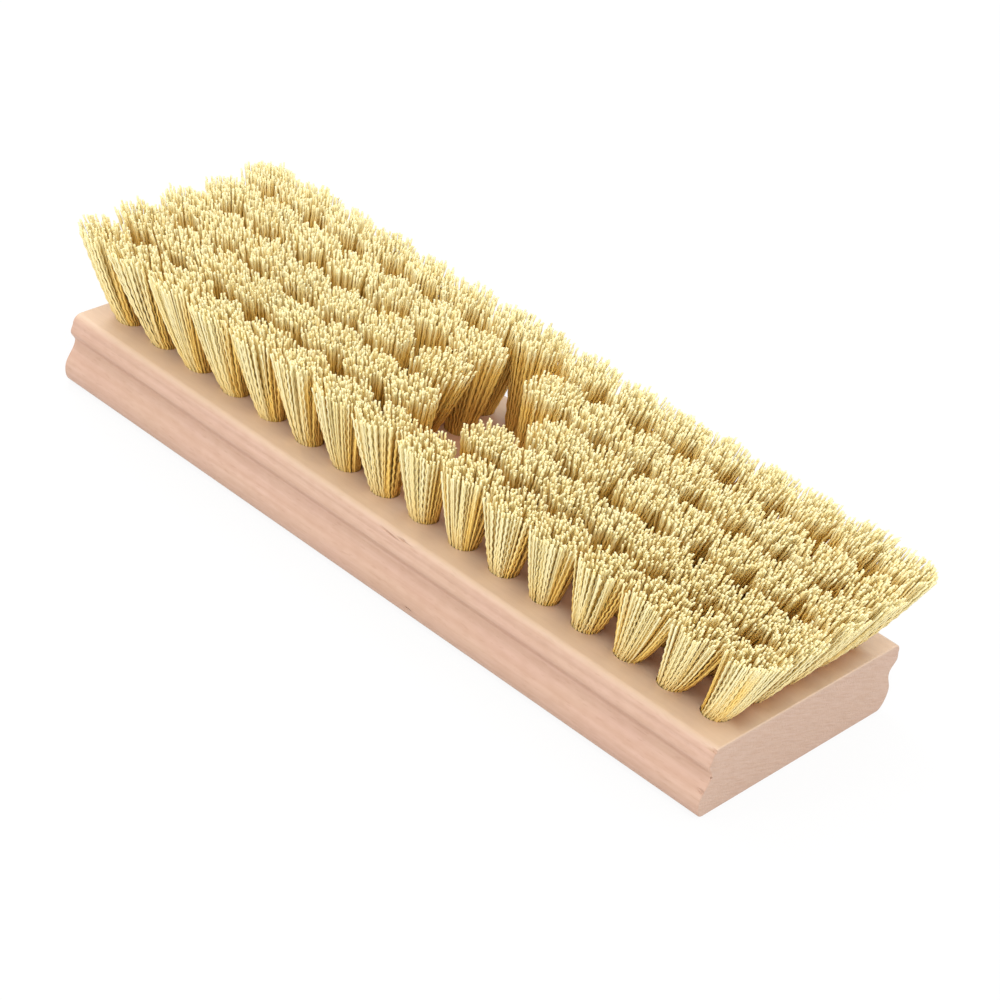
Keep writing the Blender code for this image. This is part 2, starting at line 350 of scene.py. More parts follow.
def side_outline():
    """One long side as half widths and heights from the face to the back: a quarter circle, half waves of
    a cosine from the face edge to the bead, the neck and the body, and a quarter ellipse."""
    turn = np.linspace(0, np.pi / 2, CURVE_STEPS + 1)
    widths = [FACE_WIDTH / 2 - EDGE_ROUND * (1 - np.sin(turn))]
    heights = [BLOCK_HEIGHT - EDGE_ROUND * (1 - np.cos(turn))]
    share = np.linspace(0, 1, CURVE_STEPS + 1)[1:]
    line = ((FACE_WIDTH, EDGE_ROUND), (BEAD_WIDTH, BEAD_DEPTH), (NECK_WIDTH, NECK_DEPTH),
            (BODY_WIDTH, BLOCK_HEIGHT - BACK_ROUND_HEIGHT))
    for (width, depth), (next_width, next_depth) in zip(line, line[1:]):
        widths.append((width + (next_width - width) * (1 - np.cos(np.pi * share)) / 2) / 2)
        heights.append(BLOCK_HEIGHT - depth - (next_depth - depth) * share)
    widths.append(BACK_WIDTH / 2 + (BODY_WIDTH - BACK_WIDTH) / 2 * np.cos(turn[1:]))
    heights.append(BACK_ROUND_HEIGHT * (1 - np.sin(turn[1:])))
    return np.concatenate(widths), np.concatenate(heights)


def moulded_block(settings):
    """The block's surface: its outline swept along X, drawn in at both ends by a quarter circle of the
    sawn edge's radius, measured along the outline's own normals."""
    half, height = side_outline()
    outline = np.stack([np.concatenate([half, -half[::-1]]), np.concatenate([height, height[::-1]])], -1)
    tangent = np.roll(outline, -1, 0) - np.roll(outline, 1, 0)
    inward = np.stack([-tangent[:, 1], tangent[:, 0]], -1)
    inward /= np.linalg.norm(inward, axis=1)[:, None]
    inward *= -np.sign((inward * (outline - outline.mean(0))).sum(1)).mean()
    turn = np.linspace(0, np.pi / 2, SAWN_EDGE_STEPS + 1)
    edge = settings.sawn_edge
    along = BLOCK_LENGTH / 2 - edge * (1 - np.sin(turn))
    drawn = edge * (1 - np.cos(turn))
    middle = np.linspace(along[0], -along[0], settings.stations + 2)[1:-1]
    place = np.concatenate([along[::-1], middle, -along])
    draw = np.concatenate([drawn[::-1], np.zeros(len(middle)), drawn])
    across = outline[None] + draw[:, None, None] * inward[None]
    corners = np.concatenate([np.repeat(place[:, None, None], len(outline), 1), across], -1)
    rings, sides = corners.shape[:2]
    faces = grid_faces(rings, sides)
    first = np.arange(sides)[None, ::-1]
    last = first[:, ::-1] + (rings - 1) * sides
    block = mesh_object("maple_block", corners.reshape(-1, 3), [faces, first, last])
    recalculate(block)
    return block


def recalculate(obj):
    """Turns a closed mesh's faces outwards."""
    shape = bmesh.new()
    shape.from_mesh(obj.data)
    bmesh.ops.recalc_face_normals(shape, faces=shape.faces)
    shape.to_mesh(obj.data)
    shape.free()


def tube_mesh(sides, radius, height, place=(0, 0, 0)):
    """A closed turned surface: radius and height are arrays with one row a ring and one column a side."""
    angle = np.linspace(0, 2 * np.pi, sides, endpoint=False)[None]
    corners = np.stack([radius * np.cos(angle), radius * np.sin(angle), height + 0 * angle], -1) + place
    rings = len(corners)
    first = np.arange(sides)[None, ::-1]
    last = first[:, ::-1] + (rings - 1) * sides
    return corners.reshape(-1, 3), [grid_faces(rings, sides), first, last]


def joined(parts):
    """Several closed surfaces as one: their corners end to end, and each kind of face counted on."""
    starts = np.cumsum([0] + [len(corners) for corners, _ in parts])
    kinds = zip(*[[kind + start for kind in faces] for (_, faces), start in zip(parts, starts)])
    return np.concatenate([corners for corners, _ in parts]), [np.concatenate(kind) for kind in kinds]


def hole_cutter():
    """All the drilled tuft holes as one cutter: plain bores with a slightly eased mouth."""
    heights = np.array([HOLE_FLOOR, BLOCK_HEIGHT - EASE_DEPTH, BLOCK_HEIGHT + EASE_DEPTH])[:, None]
    radii = np.array([HOLE_RADIUS, HOLE_RADIUS, HOLE_RADIUS + EASE_WIDTH])[:, None]
    holes = [tube_mesh(HOLE_SIDES, radii, heights, (tuft[3], tuft[4], 0)) for tuft in tuft_table()]
    return mesh_object("tuft_holes", *joined(holes))


def chip_cutter():
    """Small losses in the wood: spindles, whose radius follows a sine along their length, scaled to each
    chip's length, depth and width and turned to lie in the surface."""
    turn = np.linspace(CHIP_POINT, np.pi - CHIP_POINT, CHIP_RINGS)[:, None]
    chips = []
    for place, size, turns in CHIPS:
        corners, faces = tube_mesh(CHIP_SIDES, np.sin(turn) / 2, -np.cos(turn) / 2)
        corners = corners[:, [2, 0, 1]] * np.array(size) * MM
        matrix = np.array(Euler([math.radians(angle) for angle in turns]).to_matrix())
        chips.append((corners @ matrix.T + np.array(place) * MM, faces))
    return mesh_object("chips", *joined(chips))


def socket_cutter():
    """The threaded bore: its radius falls by the thread's depth in a wave that climbs one pitch a turn, a
    cosine with its crests and troughs cut off flat, and opens to the full radius towards the mouth."""
    top_middle = BLOCK_HEIGHT - WOOD_OVER_SOCKET - SOCKET_RADIUS * math.sin(SOCKET_TILT)
    depth = top_middle / math.cos(SOCKET_TILT)
    start = -(SOCKET_RADIUS * math.tan(SOCKET_TILT) + THREAD_FADE)
    height = np.linspace(start, depth, SOCKET_RINGS)[:, None]
    angle = np.linspace(0, 1, SOCKET_SIDES, endpoint=False)[None]
    climb = np.cos(2 * np.pi * (height / THREAD_PITCH - angle))
    wave = 0.5 - 0.5 * np.clip(THREAD_FLATS * climb, -1, 1)
    mouth = np.clip(1 - (height + THREAD_START) / THREAD_FADE, 0, 1)
    radius = SOCKET_RADIUS - THREAD_DEPTH * wave * (1 - mouth)
    corners, faces = tube_mesh(SOCKET_SIDES, radius, height)
    cutter = mesh_object("handle_socket", corners, faces)
    cutter.data.transform(Matrix.Translation((0, SOCKET_OFFSET, 0)) @ Matrix.Rotation(SOCKET_TILT, 4, "X"))
    return cutter


def cut(obj, cutters):
    """Cuts the closed cutters out of the object for good and removes them."""
    for cutter in cutters:
        recalculate(cutter)
        modifier = obj.modifiers.new(cutter.name, "BOOLEAN")
        modifier.operation = "DIFFERENCE"
        modifier.solver = "EXACT"
        modifier.object = cutter
    bpy.context.view_layer.update()
    finished = obj.evaluated_get(bpy.context.evaluated_depsgraph_get())
    mesh = bpy.data.meshes.new_from_object(finished)
    obj.modifiers.clear()
    obj.data = mesh
    for cutter in cutters:
        bpy.data.objects.remove(cutter)


def toned(tree, colour, tones):
    """Lays tones over a colour one after another. A tone has the output that it follows, the output's values
    where it starts and is full, its full share and its own colour."""
    for source, starts, full, most, tone in tones:
        share = add_node(tree, "ShaderNodeMapRange", {"Value": source, "From Min": starts, "From Max": full,
                                                      "To Max": most})
        mixed = add_node(tree, "ShaderNodeMix", {"Factor": share.outputs[0], 6: colour, 7: (*tone, 1.0)},
                         data_type="RGBA")
        colour = mixed.outputs[2]
    return colour


def wood_colour(tree, settings):
    """Maple's figure in space: wavering growth rings round a pith under the block, long pale and dark grain,
    short ray flecks and a slow drift of tone, with a paler painted highlight on the face and brown painted
    shade between the tufts. Returns the place in space, the colour and the grain's height."""
    where = add_node(tree, "ShaderNodeTexCoord").outputs["Object"]
    figure = {}
    for name, (along, across, place, detail, roughness) in FIGURE.items():
        scale = (1 / (along * MM), 1 / (across * MM), 1 / (across * MM))
        space = add_node(tree, "ShaderNodeMapping", {"Vector": where, "Location": place, "Scale": scale})
        noise = add_node(tree, "ShaderNodeTexNoise", {"Vector": space.outputs[0], "Scale": 1.0,
                                                      "Detail": detail, "Roughness": roughness})
        figure[name] = noise.outputs[0]
    pith = add_node(tree, "ShaderNodeMapping", {"Vector": where, "Location": PITH, "Scale": PITH_SCALE})
    reach = add_node(tree, "ShaderNodeVectorMath", {0: pith.outputs[0]}, operation="LENGTH")
    bent = add_node(tree, "ShaderNodeMath", {0: figure["wander"], 1: RING_WAVER, 2: reach.outputs["Value"]},
                    operation="MULTIPLY_ADD")
    rings = add_node(tree, "ShaderNodeTexNoise", {"W": bent.outputs[0], "Scale": 1 / RING_WIDTH,
                                                  "Detail": 1.0, "Roughness": 0.4}, noise_dimensions="1D")
    level = add_node(tree, "ShaderNodeSeparateXYZ", {0: where}).outputs["Z"]
    colour = toned(tree, (*settings.early_wood, 1.0), (
        (figure["drift"], 0.3, 0.7, 0.5, settings.drift_tone),
        (figure["blush"], 0.35, 0.7, 0.4, settings.blush),
        (rings.outputs[0], 0.3, 0.75, 0.3, settings.late_wood),
        (figure["grain"], 0.35, 0.75, 0.26, settings.late_wood),
        (figure["mottle"], 0.4, 0.65, 0.25, settings.late_wood),
        (figure["fleck"], 0.68, 0.78, 0.2, settings.fleck_tone),
        # The face goes paler towards the top: a painted highlight for the light and sheen it gets
        (level, FACE_STARTS, FACE_FULL, 0.45, settings.face_highlight_tone)))
    # Painted shade: the face between the tufts, and beside them on the right, is mixed towards brown,
    # standing in for light that reaches it only through the fibres
    shifted = add_node(tree, "ShaderNodeVectorMath", {0: where, 1: (PAINTED_SHADE_SHIFT, 0, 0)}, operation="SUBTRACT")
    away = add_node(tree, "ShaderNodeVectorMath", {0: shifted.outputs[0]}, operation="ABSOLUTE")
    sides = add_node(tree, "ShaderNodeSeparateXYZ", {0: away.outputs[0]})
    edges = []
    for side, edge, (starts, full) in zip("XY", FEET_REACH, (PAINTED_SHADE_ALONG, PAINTED_SHADE_ACROSS)):
        edges.append(add_node(tree, "ShaderNodeMapRange", {
            "Value": sides.outputs[side], "From Min": edge - starts, "From Max": edge - full,
            "To Max": PAINTED_SHADE_SHARE}))
    high = add_node(tree, "ShaderNodeMapRange", {"Value": level, "From Min": FACE_STARTS,
                                                 "From Max": FACE_FULL})
    both = add_node(tree, "ShaderNodeMath", {0: edges[0].outputs[0], 1: edges[1].outputs[0]},
                    operation="MINIMUM")
    painted_shade = add_node(tree, "ShaderNodeMath", {0: both.outputs[0], 1: high.outputs[0]}, operation="MULTIPLY")
    colour = add_node(tree, "ShaderNodeMix", {"Factor": painted_shade.outputs[0], 6: colour,
                                              7: (*settings.painted_shade_tone, 1.0)}, data_type="RGBA").outputs[2]
    return where, colour, figure["grain"]


def planed_maple(settings):
    """Hard maple, moulded by a cutter head and sanded: pinkish tan, fine straight grain, a soft sheen."""
    material, tree, shader = new_material("maple moulded and sanded")
    _, colour, grain = wood_colour(tree, settings)
    tree.links.new(colour, shader.inputs["Base Color"])
    rough = add_node(tree, "ShaderNodeMapRange", {"Value": grain, "To Min": 0.42, "To Max": 0.6})
    tree.links.new(rough.outputs[0], shader.inputs["Roughness"])
    bump = add_node(tree, "ShaderNodeBump", {"Height": grain, "Distance": 0.03 * MM, "Strength": 0.5})
    tree.links.new(bump.outputs[0], shader.inputs["Normal"])
    shader.inputs["IOR"].default_value = 1.5
    return material


def sawn_maple(settings):
    """Maple end grain, crosscut by a saw and left: greyer, matt, with the blade's fine slanted scores and
    the open pores as specks."""
    material, tree, shader = new_material("maple end grain sawn")
    where, colour, _ = wood_colour(tree, settings)
    score_space = add_node(tree, "ShaderNodeMapping", {
        "Vector": where, "Rotation": (SCORE_SLANT, 0, 0), "Scale": (1, SCORE_LENGTH, SCORE_PITCH)},
        vector_type="TEXTURE")
    score = add_node(tree, "ShaderNodeTexNoise", {"Vector": score_space.outputs[0], "Scale": 1.0,
                                                  "Detail": 3.0, "Roughness": 0.65})
    pore_space = add_node(tree, "ShaderNodeMapping", {"Vector": where,
                                                      "Scale": (1, 1 / PORE_SIZE, 1 / PORE_SIZE)})
    pore = add_node(tree, "ShaderNodeTexNoise", {"Vector": pore_space.outputs[0], "Scale": 1.0,
                                                 "Detail": 2.0})
    greyed = add_node(tree, "ShaderNodeMix", {"Factor": 0.6, 6: colour, 7: (*settings.end_grain, 1.0)},
                      data_type="RGBA")
    colour = toned(tree, greyed.outputs[2], ((score.outputs[0], 0.4, 0.66, 0.35, settings.late_wood),
                                             (pore.outputs[0], 0.6, 0.75, 0.4, settings.late_wood)))
    tree.links.new(colour, shader.inputs["Base Color"])
    height = add_node(tree, "ShaderNodeMath", {0: score.outputs[0], 1: pore.outputs[0]}, operation="ADD")
    bump = add_node(tree, "ShaderNodeBump", {"Height": height.outputs[0], "Distance": 0.2 * MM,
                                             "Strength": 0.8})
    tree.links.new(bump.outputs[0], shader.inputs["Normal"])
    shader.inputs["Roughness"].default_value = 0.75
    shader.inputs["IOR"].default_value = 1.5
    return material


def crimped_fibre(settings):
    """Polypropylene bristle, extruded, crimped between gears and cut: pale yellow and waxy, each strand of
    its own tone. Light that has passed through many strands turns golden and then brown, and strands far into
    the tufts carry this as painted shade in their colour."""
    material, tree, shader = new_material("polypropylene bristle crimped")
    tone = add_node(tree, "ShaderNodeAttribute", attribute_name="strand_tone").outputs["Fac"]
    # How far into the tufts a corner lies, which sets its painted shade
    depth = add_node(tree, "ShaderNodeAttribute", attribute_name="depth").outputs["Fac"]
    body = add_node(tree, "ShaderNodeMix", {"Factor": tone, 6: (*settings.fibre_pale, 1.0),
                                            7: (*settings.fibre_gold, 1.0)}, data_type="RGBA")
    # Painted shade: golden a little way into the tufts, brown low down inside the field
    colour = toned(tree, body.outputs[2], ((depth, 0.1, 0.9, 0.95, settings.fibre_shade_gold),
                                           (depth, 1.3, 2.8, 0.85, settings.fibre_shade_dark)))
    tree.links.new(colour, shader.inputs["Base Color"])
    shader.inputs["Roughness"].default_value = 0.65
    shader.inputs["IOR"].default_value = 1.49
    return material


def galvanised_wire():
    """Zinc-coated steel wire, drawn and cut: dull grey metal."""
    material, tree, shader = new_material("steel wire galvanised")
    where = add_node(tree, "ShaderNodeTexCoord").outputs["Object"]
    spangle = add_node(tree, "ShaderNodeTexNoise", {"Vector": where, "Scale": 1 / (0.5 * MM), "Detail": 2.0})
    tone = add_node(tree, "ShaderNodeMix", {"Factor": spangle.outputs[0], 6: linear("8F9294"),
                                            7: linear("B9BCBD")}, data_type="RGBA")
    tree.links.new(tone.outputs[2], shader.inputs["Base Color"])
    shader.inputs["Metallic"].default_value = 1.0
    shader.inputs["Roughness"].default_value = 0.4
    return material


def smooth_field(points, seed, size, strength):
    """A smooth random push for each point: a sum of a few sine waves of about the given size."""
    draw = np.random.default_rng(seed)
    push = np.zeros((len(points), 2))
    for _ in range(FIELD_WAVES):
        direction = draw.normal(size=2)
        direction *= 2 * np.pi / size / np.linalg.norm(direction)
        push += np.sin(points @ direction + draw.uniform(0, 2 * np.pi))[:, None] * draw.normal(size=2)
    return push * strength / math.sqrt(FIELD_WAVES)


def held_in(tips, room):
    """Draws tips back into the solids' outline seen from above, a rectangle with rounded corners: a tip past
    a side comes in square to it, and then one past a corner's arc comes in along the line to its middle."""
    inner = np.array(CAD_BOX[1])[:2] - room - FIELD_CORNER
    side = np.where(tips < 0, -1.0, 1.0)
    past = np.minimum(tips * side - inner, FIELD_CORNER)
    both = np.maximum(past, 0)
    far = np.linalg.norm(both, axis=1)[:, None]
    back = np.where(far > FIELD_CORNER, FIELD_CORNER / np.maximum(far, 1e-9), 1.0)
    return side * (inner + np.where(past > 0, past * back, past))


def strand_ends(tuft, settings, seed):
    """Feet and tips of one tuft's strands. Feet lie on a sunflower spiral in the hole, and tips on the same
    spiral spread to the tuft's mouth, whose radius waves two and three times a turn and is longest along
    the row, most of all in the far row. Tips are pushed into small clumps, a few strands stray far, and the
    height falls with the cube of the distance from the tuft's middle. No tip passes the solids' outline.
    Also gives each strand's share of the tuft's radius."""
    x, y, lean_x, lean_y = tuft
    draw = np.random.default_rng(seed)
    count = settings.strands
    index = np.arange(count) + 0.5
    ring = np.sqrt(index / count)
    angle = index * math.pi * (3 - math.sqrt(5)) + draw.uniform(0, 2 * np.pi)
    disc = np.stack([ring * np.cos(angle), ring * np.sin(angle)], -1)
    feet = disc * settings.foot_radius + draw.normal(0, FOOT_SCATTER, (count, 2))
    wave = MOUTH_WAVE * np.cos(2 * angle + draw.uniform(0, 6))
    wave += MOUTH_WAVE * np.cos(3 * angle + draw.uniform(0, 6))
    wave += (LONG_MOUTH + LONG_MOUTH_FAR * y / LAST_Y) * np.cos(2 * angle)
    mouth = settings.mouth_radius * (1 + draw.normal(0, MOUTH_SCATTER) + wave)[:, None]
    tips = disc * mouth + smooth_field(disc * mouth, seed + 1, CLUMP_SIZE, settings.clump)
    loose = np.where(draw.uniform(size=count) < LOOSE_SHARE, LOOSE_TIMES, 1.0)[:, None]
    tips += draw.normal(0, settings.stray, (count, 2)) * loose
    tips += (lean_x, lean_y) + draw.normal(0, LEAN_SCATTER, 2)
    height = settings.trim - TIP_DROP - np.abs(draw.normal(0, settings.ragged, count))
    height += draw.normal(0, TUFT_SCATTER)
    height += smooth_field(disc * mouth, seed + 2, SWELL_SIZE, SWELL_HEIGHT)[:, 0]
    height += np.where(draw.uniform(size=count) < LONG_SHARE, draw.uniform(*LONG_BY, count) * MM, 0.0)
    height -= settings.rim_drop * ring ** 3
    middle = np.array((x, y))
    tips = held_in(middle + tips, settings.strand_width / 2 + settings.crimp_height * CRIMP_ROOM)
    return middle + feet, tips, BLOCK_HEIGHT + np.minimum(height, settings.trim), ring, draw


def crimped_strands(tufts, settings, seed):
    """All the strands of a group as one mesh. A strand's middle line runs from its foot in the hole to its
    tip, straight up to the face and then fanning out by a power of its height. A triangle wave of the crimp's
    height, with its corners half a wave apart, bends it in one plane, and a three-sided ring stands at each
    corner. A ring's depth of painted shade is the greater of two products: how far it is below its tip in
    shade steps times its share of the way inside the field, and, up to one step, a part of that times its
    share of the way inside its tuft."""
    corners, tone, shade_depths = [], [], []
    stations = settings.crimps + 1
    for number, tuft in enumerate(tufts):
        feet, tips, top, part, draw = strand_ends(tuft, settings, seed + 10 * number)
        count = len(feet)
        bottom = BLOCK_HEIGHT - settings.sunk
        # Where a strand's first crimp stands, from 0.1 to 0.9 of the spacing
        shift = (draw.normal(0.5, 0.22, count) % 0.8 + 0.1)[:, None]
        share = (np.arange(stations)[None] - 1 + shift) / (stations - 2)
        share[:, 0], share[:, -1] = 0, 1
        height = bottom + (top[:, None] - bottom) * share
        fan = np.clip((height - BLOCK_HEIGHT) / (top[:, None] - BLOCK_HEIGHT), 0, 1) ** FAN_POWER
        sign = np.where(np.arange(stations) % 2, -1.0, 1.0)[None] * np.ones((count, 1))
        sign[:, 0] = 2 * shift[:, 0] - 1
        sign[:, -1] *= 2 * shift[:, 0] - 1
        swing = sign * settings.crimp_height * draw.uniform(*CRIMP_SWING, (count, stations))
        plane = draw.uniform(0, np.pi) + draw.normal(0, PLANE_SCATTER, count)
        reach = swing[..., None] * np.stack([np.cos(plane), np.sin(plane)], -1)[:, None]
        centre = feet[:, None] + (tips - feet)[:, None] * fan[..., None] + reach
        turn = (np.arange(3) * 2 * np.pi / 3)[None] + draw.uniform(0, 2 * np.pi, count)[:, None]
        ring = np.stack([np.cos(turn), np.sin(turn)], -1) * settings.strand_width / 2
        flat = centre[:, :, None] + ring[:, None]
        full = np.concatenate([flat, np.repeat(height[:, :, None, None], 3, 2)], -1)
        corners.append(full.reshape(-1, 3))
        # Most strands are nearer the pale tone
        tone.append(np.repeat(draw.beta(1.2, 2.2, count), stations * 3))
        # Painted shade: how far each ring lies below its tip, inside the field and inside its tuft sets how
        # golden and brown it is
        below = (top[:, None] - height) / SHADE_STEP
        share = np.clip((height - BLOCK_HEIGHT) / settings.trim, 0, 1)
        outer = FEET_REACH + (np.array(CAD_BOX[1])[:2] - FEET_REACH) * share[..., None]
        inside = np.clip((outer - np.abs(centre)).min(-1) / SHADE_INSIDE, SHADE_LEAST, 1)
        radius = settings.foot_radius + (settings.mouth_radius - settings.foot_radius) * share
        within = np.clip((1 - part[:, None]) * radius / TUFT_SHADE_INSIDE, 0, 1)
        depth = np.maximum(below * inside, TUFT_SHADE_SHARE * np.minimum(below, 1) * within)
        shade_depths.append(np.repeat(depth.reshape(-1), 3))
    corners = np.concatenate(corners)
    strand_size = stations * 3
    starts = (np.arange(len(corners) // strand_size) * strand_size)[:, None, None]
    quads = (grid_faces(stations, 3)[None] + starts).reshape(-1, 4)
    foot_caps = (np.array([[2, 1, 0]])[None] + starts).reshape(-1, 3)
    tip_caps = (np.array([[0, 1, 2]])[None] + (stations - 1) * 3 + starts).reshape(-1, 3)
    return corners, [quads, foot_caps, tip_caps], np.concatenate(tone), np.concatenate(shade_depths)


def folded_roots(tufts, settings):
    """The folded ends in the holes: fluted plugs, whose radius falls by a cosine of the angle, drawn in to
    the staple at the bottom."""
    share = np.array(ROOT_HEIGHTS)[:, None]
    height = HOLE_FLOOR + ROOT_LIFT + (BLOCK_HEIGHT - settings.sunk - HOLE_FLOOR - ROOT_SHORTER) * share
    body = settings.foot_radius * np.array(ROOT_RADII)[:, None]
    angle = np.linspace(0, 2 * np.pi, ROOT_SIDES, endpoint=False)
    flute = 1 - FLUTE_DEPTH * (1 + np.cos(ROOT_FLUTES * angle))[None]
    return joined([tube_mesh(ROOT_SIDES, body * flute, height, (x, y, 0)) for x, y, *_ in tufts])


def wire_staples(row, settings):
    """The staples of one row. A staple's middle line runs up one leg, over the crown through two quarter
    circles and down the other leg, and rings of six corners stand square to it."""
    turn = np.linspace(0, np.pi / 2, WIRE_BEND_STEPS + 1)
    bend = settings.wire
    half = settings.crown / 2
    over = np.stack([bend - half - bend * np.cos(turn), bend * np.sin(turn) - bend], -1)
    line = np.concatenate([[[-half, -settings.leg]], over, (over * (-1, 1))[::-1], [[half, -settings.leg]]])
    tangent = np.gradient(line, axis=0)
    tangent /= np.linalg.norm(tangent, axis=1)[:, None]
    side = np.stack([tangent[:, 1], 0 * tangent[:, 0], -tangent[:, 0]], -1)
    angle = np.linspace(0, 2 * np.pi, WIRE_SIDES, endpoint=False)[:, None]
    ring = side[:, None] * np.cos(angle) + np.array((0, 1, 0)) * np.sin(angle)
    middle = np.stack([line[:, 0], 0 * line[:, 0], line[:, 1]], -1)
    corners = (middle[:, None] + ring * settings.wire / 2).reshape(-1, 3)
    first = np.arange(WIRE_SIDES)[None, ::-1]
    faces = [grid_faces(len(line), WIRE_SIDES), first, first[:, ::-1] + (len(line) - 1) * WIRE_SIDES]
    crown_height = HOLE_FLOOR + settings.wire / 2
    places = [(tuft[3], tuft[4], crown_height) for tuft in tuft_table() if tuft[0] == row]
    return joined([(corners + place, faces) for place in places])


def set_slots(piece, materials):
    """Gives the piece these materials in their order."""
    piece.data.materials.clear()
    for material in materials:
        piece.data.materials.append(material)


def length_setting(name, description, default, low, high):
    """A length among the settings, with its default and its limits in mm."""
    return bpy.props.FloatProperty(name=name, description=description, default=default * MM, min=low * MM,
                                   max=high * MM, unit="LENGTH", precision=5)


def colour_setting(name, description, hex_colour):
    """A colour among the settings, with an sRGB hex colour as its default."""
    return bpy.props.FloatVectorProperty(name=name, description=description, subtype="COLOR",
                                         default=linear(hex_colour)[:3])


class BlockSettings(bpy.types.PropertyGroup):
    """Sizes and colours of the maple block."""

    sawn_edge: length_setting("Sawn edge", "Rounding where the ends were sawn", 0.4, 0.1, 1)
    stations: bpy.props.IntProperty(name="Stations", description="Cross sections along the block", default=48,
                                    min=8, max=400)
    early_wood: colour_setting("Early wood", "Colour between the grain lines", "C6A691")
    late_wood: colour_setting("Late wood", "Colour of the grain lines", "AD876E")
    drift_tone: colour_setting("Drift", "Colour that parts of the block drift to", "BC9881")
    blush: colour_setting("Blush", "Pinker colour of soft patches", "C6A092")
    # The paler tone of the painted highlight on the face
    face_highlight_tone: colour_setting("Face", "Colour that the planed face goes towards", "DDC9AF")
    # The brown of the painted shade on the face between the tufts
    painted_shade_tone: colour_setting("Covered face", "Colour between the tufts", "A5622F")
    fleck_tone: colour_setting("Fleck", "Colour of the ray flecks", "9D755C")
    end_grain: colour_setting("End grain", "Colour of the sawn end grain", "C5AD9D")


class TuftSettings(bpy.types.PropertyGroup):
    """Sizes and colours of the crimped fibre tufts."""

    strands: bpy.props.IntProperty(name="Strands a tuft", description="Bristle ends in each hole",
                                   default=150, min=10, max=200)
    strand_width: length_setting("Strand width", "Thickness of one bristle", 0.73, 0.2, 2)
    foot_radius: length_setting("Foot radius", "Radius of the strands in the hole", 4.05, 1, 6)
    mouth_radius: length_setting("Mouth radius", "Radius of a tuft at its tips", 8.55, 1, 12)
    trim: length_setting("Trim", "Height of the longest strands above the face", 29.9, 5, 60)
    ragged: length_setting("Ragged", "How unevenly the tips are cut", 0.65, 0, 5)
    rim_drop: length_setting("Rim drop", "How much lower a tuft's outer tips end", 0.7, 0, 5)
    clump: length_setting("Clumps", "How far tips gather into clumps", 0.65, 0, 3)
    stray: length_setting("Strays", "How far single tips wander", 0.35, 0, 3)
    crimps: bpy.props.IntProperty(name="Crimps", description="Corners of the crimp along one strand",
                                  default=18, min=4, max=60)
    crimp_height: length_setting("Crimp height", "How far a crimp swings each way", 0.17, 0, 2)
    sunk: length_setting("Sunk", "How far the strands are modelled down their hole", 1.8, 0.5, 10)
    fibre_pale: colour_setting("Pale fibre", "Colour of the palest strands", "F5EBBB")
    fibre_gold: colour_setting("Golden fibre", "Colour of the deepest strands", "F5E2A0")
    # Golden and brown painted shade for strands far into the tufts
    fibre_shade_gold: colour_setting("Deep fibre", "Colour a little way into the tufts", "FBD46E")
    fibre_shade_dark: colour_setting("Dark fibre", "Colour low down inside the field", "D49E44")


class StapleSettings(bpy.types.PropertyGroup):
    """Sizes of the wire staples that hold the tufts."""

    wire: length_setting("Wire", "Thickness of the wire", 1.0, 0.3, 2)
    crown: length_setting("Crown", "Distance between the middles of the legs", 6.0, 2, 7.5)
    leg: length_setting("Leg", "How far the legs go into the wood", 3.5, 1, 6)


class StageSettings(bpy.types.PropertyGroup):
    """The table, the lamps and the camera."""

    lens: bpy.props.FloatProperty(name="Lens", description="Focal length on a 36 mm wide frame",
                                  default=112.14, min=10, max=400, unit="CAMERA")
    azimuth: bpy.props.FloatProperty(name="Azimuth", description="Camera's turn right of the near side",
                                     default=math.radians(35.68), subtype="ANGLE")
    elevation: bpy.props.FloatProperty(name="Elevation", description="Camera's height angle",
                                       default=math.radians(32.39), subtype="ANGLE")
    roll: bpy.props.FloatProperty(name="Roll", description="Camera's tilt about its line of sight",
                                  default=math.radians(12.28), subtype="ANGLE")
    distance: bpy.props.FloatProperty(name="Distance", description="Camera's distance from its aim",
                                      default=0.9179, min=0.1, max=10, unit="LENGTH")
    aim: bpy.props.FloatVectorProperty(name="Aim", description="The point the camera aims at", subtype="XYZ",
                                       default=(0.0034, 0.0116, 0.0116), unit="LENGTH")
    world_light: bpy.props.FloatProperty(name="Room light", description="Strength of the even light",
                                         default=1.26, min=0, max=5)
    left_power: bpy.props.FloatProperty(name="Left lamp", description="Power of the lamp on the left",
                                        default=4.3, min=0, max=200, unit="POWER")
    front_power: bpy.props.FloatProperty(name="Front lamp", description="Power of the lamp in front",
                                         default=2.5, min=0, max=200, unit="POWER")
    fill_power: bpy.props.FloatProperty(name="Fill lamp", description="Power of the wide lamp by the camera",
                                        default=2.35, min=0, max=200, unit="POWER")
    high_power: bpy.props.FloatProperty(name="High lamp", description="Power of the small lamp high up",
                                        default=2.7, min=0, max=200, unit="POWER")


class DECKBRUSH_OT_block(bpy.types.Operator):
    """Moulds, drills and threads the maple block"""

    bl_idname = "deckbrush.block"
    bl_label = "Maple block"

    def execute(self, context):
        settings = context.scene.deckbrush_block
        block = moulded_block(settings)
        cut(block, [hole_cutter(), socket_cutter(), chip_cutter()])
        set_slots(block, [planed_maple(settings), sawn_maple(settings)])
        normals = np.zeros(len(block.data.polygons) * 3, np.float32)
        block.data.polygons.foreach_get("normal", normals)
        normals = normals.reshape(-1, 3)
        # Faces square to the length are the sawn ends. They and the level faces are shaded flat
        ends = (np.abs(normals[:, 0]) > END_NORMAL).astype(np.int32)
        level = np.abs(normals[:, 2]) > LEVEL_NORMAL
        block.data.polygons.foreach_set("material_index", ends)
        block.data.polygons.foreach_set("use_smooth", ~(level | (ends == 1)))
        block.data.update()
        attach(block, BODY)
        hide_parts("block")
        return {"FINISHED"}


